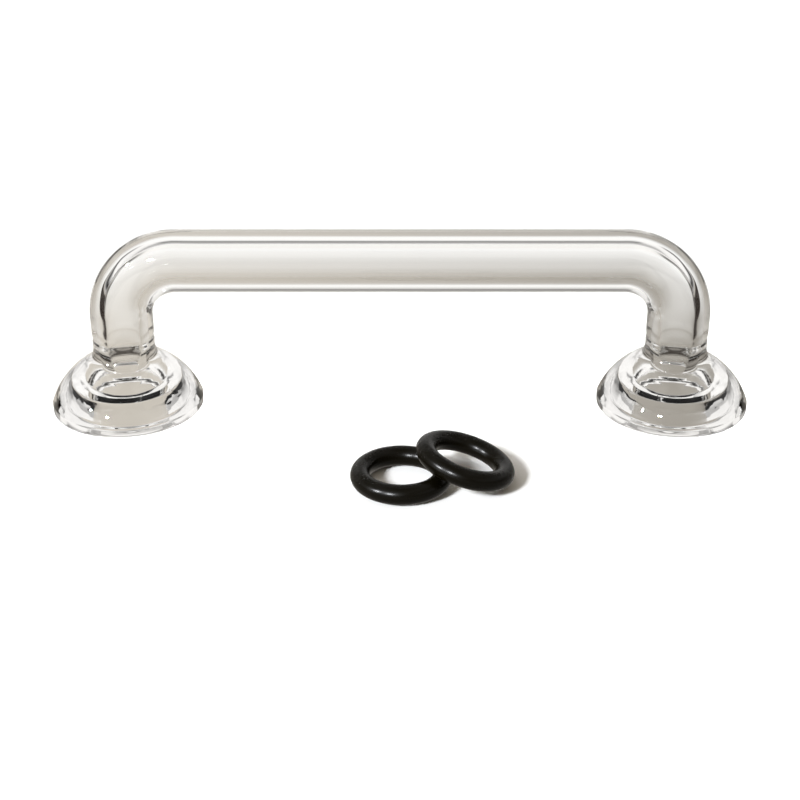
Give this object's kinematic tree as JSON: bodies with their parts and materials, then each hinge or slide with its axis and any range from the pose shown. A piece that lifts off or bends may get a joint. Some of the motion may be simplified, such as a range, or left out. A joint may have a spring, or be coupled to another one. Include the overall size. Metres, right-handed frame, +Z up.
{
  "type": "glass bridge tube with o-rings",
  "caption": "Clear thick-walled glass bridge tube, bent square at each end, with a heavy bell-shaped flange on each leg and loose black rubber O-rings lying in front.",
  "frame": {"origin": "on the table, at the middle of the box around the bridge and the O-rings", "axes": "+X along the bridge towards its right flange, +Y from the O-rings towards the bridge, +Z up"},
  "size_m": [0.149, 0.0606, 0.0398],
  "materials": {
    "glass": "clear, fire-polished",
    "rubber": "satin black moulded rubber"
  },
  "bodies": {
    "bridge": {"bridge_tube": "glass", "left_bell_flange": "glass", "right_bell_flange": "glass"},
    "flat_ring": {"flat_o_ring": "rubber"},
    "leaning_ring": {"leaning_o_ring": "rubber"}
  },
  "joints": [
    {"name": "leaning_ring_lift", "type": "slide", "parent": "bridge", "child": "leaning_ring", "axis": [0, 0, 1], "range_m": [0, 0.04]},
    {"name": "flat_ring_slide", "type": "slide", "parent": "bridge", "child": "flat_ring", "axis": [-1, 0, 0], "range_m": [0, 0.04]}
  ]
}
